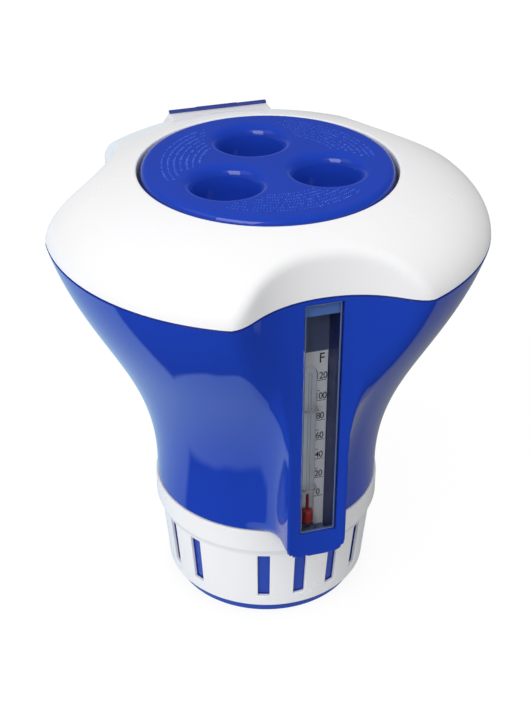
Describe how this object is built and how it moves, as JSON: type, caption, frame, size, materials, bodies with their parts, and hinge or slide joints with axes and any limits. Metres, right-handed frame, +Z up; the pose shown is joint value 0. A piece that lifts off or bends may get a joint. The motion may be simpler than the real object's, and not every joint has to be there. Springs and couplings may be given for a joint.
{
  "type": "floating chlorine dispenser",
  "caption": "Floating pool chlorine dispenser: flared lobed hull with thermometer window, domed top, screw lid with finger cups, slotted sleeve that opens the water vents.",
  "frame": {"origin": "centre of the flat foot of the base cap, on the tablet tube's axis", "axes": "+Z up along the tablet tube towards the lid; the thermometer faces -Y and the tie-off eye is at +Y"},
  "size_m": [0.1986, 0.1879, 0.219],
  "materials": {
    "blue_plastic": "glossy injection-moulded plastic, royal blue",
    "white_plastic": "glossy injection-moulded plastic, white",
    "tube_plastic": "satin natural plastic",
    "seal_rubber": "dark matt rubber",
    "clear_cover": "clear glossy plastic sheet",
    "thermometer_glass": "clear glass",
    "scale_card": "pale printed card, matt",
    "red_spirit": "red dyed spirit",
    "clip_metal": "thin bright strip",
    "dark_plastic": "dark blue plastic, satin",
    "ballast_metal": "iron with a thick grey coating"
  },
  "bodies": {
    "float": {"hull": "blue_plastic", "top_shell": "white_plastic", "lid_well": "white_plastic", "seam_seal": "seal_rubber", "tablet_tube": "tube_plastic", "tube_top_seal": "seal_rubber", "tube_foot_seal": "seal_rubber", "window_cover": "clear_cover", "window_gasket": "dark_plastic", "scale_card": "scale_card", "glass_tube": "thermometer_glass", "red_spirit": "red_spirit", "tube_clips": "clip_metal", "bulb_rest": "dark_plastic", "basket": "blue_plastic", "base_cap": "blue_plastic", "ballast_ring": "ballast_metal", "tablet_grate": "tube_plastic", "tie_off_bracket": "blue_plastic"},
    "lid_seal": {"lid_seal": "seal_rubber"},
    "lid": {"lid": "blue_plastic"},
    "sleeve": {"control_sleeve": "white_plastic"}
  },
  "joints": [
    {"name": "lid_lift", "type": "slide", "parent": "float", "child": "lid_seal", "axis": [0, 0, 1], "range_m": [0, 0.0151]},
    {"name": "lid_turn", "type": "hinge", "parent": "lid_seal", "child": "lid", "pos_m": [0, 0, 0.21], "axis": [0, 0, 1], "range_deg": [0, 150]},
    {"name": "sleeve_turn", "type": "hinge", "parent": "float", "child": "sleeve", "pos_m": [0, 0, 0.03], "axis": [0, 0, 1], "range_deg": [0, 10]}
  ],
  "couplings": [
    {"joint": "lid_lift", "follows": "lid_turn", "m_per_rad": 0.0057296}
  ]
}
